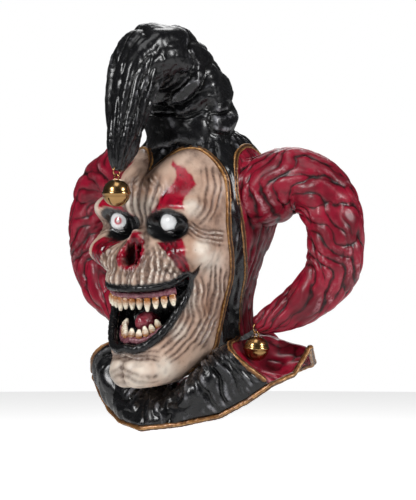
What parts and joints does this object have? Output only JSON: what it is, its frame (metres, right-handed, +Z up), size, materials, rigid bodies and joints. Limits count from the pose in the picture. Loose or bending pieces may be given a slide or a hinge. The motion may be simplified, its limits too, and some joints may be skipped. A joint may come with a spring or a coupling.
{
  "type": "jester mask",
  "caption": "Grinning skull-nosed jester face in a black and red horned hood with a pointed collar, gold piping and small round bells.",
  "frame": {"origin": "where the top of the wearer's head meets the inside of the crown", "axes": "+Z up, the face looks along -Y, the wearer's left is +X"},
  "size_m": [0.418, 0.2859, 0.4679],
  "materials": {
    "flesh": "satin painted latex, cream with tan",
    "lip": "glossy black latex",
    "tongue": "glossy dark red latex",
    "gum": "glossy pink latex",
    "tooth": "ivory, stained amber at the root",
    "eye": "glossy white, no pupil",
    "black_latex": "black latex brushed with silver grey",
    "red_latex": "crimson latex with black creases",
    "gold_latex": "antique gold painted latex",
    "brass": "polished"
  },
  "bodies": {
    "root": {"face": "flesh", "lips": "lip", "mouth_lining": "lip", "tongue": "tongue", "upper_gum": "gum", "lower_gum": "gum", "upper_tooth_1": "tooth", "upper_tooth_2": "tooth", "upper_tooth_3": "tooth", "upper_tooth_4": "tooth", "upper_tooth_5": "tooth", "upper_tooth_6": "tooth", "upper_tooth_7": "tooth", "upper_tooth_8": "tooth", "upper_tooth_9": "tooth", "upper_tooth_10": "tooth", "upper_tooth_11": "tooth", "lower_tooth_1": "tooth", "lower_tooth_2": "tooth", "lower_tooth_3": "tooth", "lower_tooth_4": "tooth", "lower_tooth_5": "tooth", "lower_tooth_6": "tooth", "lower_tooth_7": "tooth", "lower_tooth_8": "tooth", "lower_tooth_9": "tooth", "eye_left": "eye", "eye_right": "eye", "hood_centre": "black_latex", "horn_centre": "black_latex", "collar_front": "black_latex", "collar_back": "black_latex", "hood_left": "red_latex", "hood_right": "red_latex", "horn_left": "red_latex", "horn_right": "red_latex", "collar_left": "red_latex", "collar_right": "red_latex", "piping_face": "gold_latex", "piping_hem": "gold_latex", "piping_left": "gold_latex", "piping_right": "gold_latex", "ring_left": "brass", "ring_right": "brass", "ring_centre": "brass", "bell_left": "brass", "bell_right": "brass", "bell_centre": "brass"}
  },
  "joints": []
}
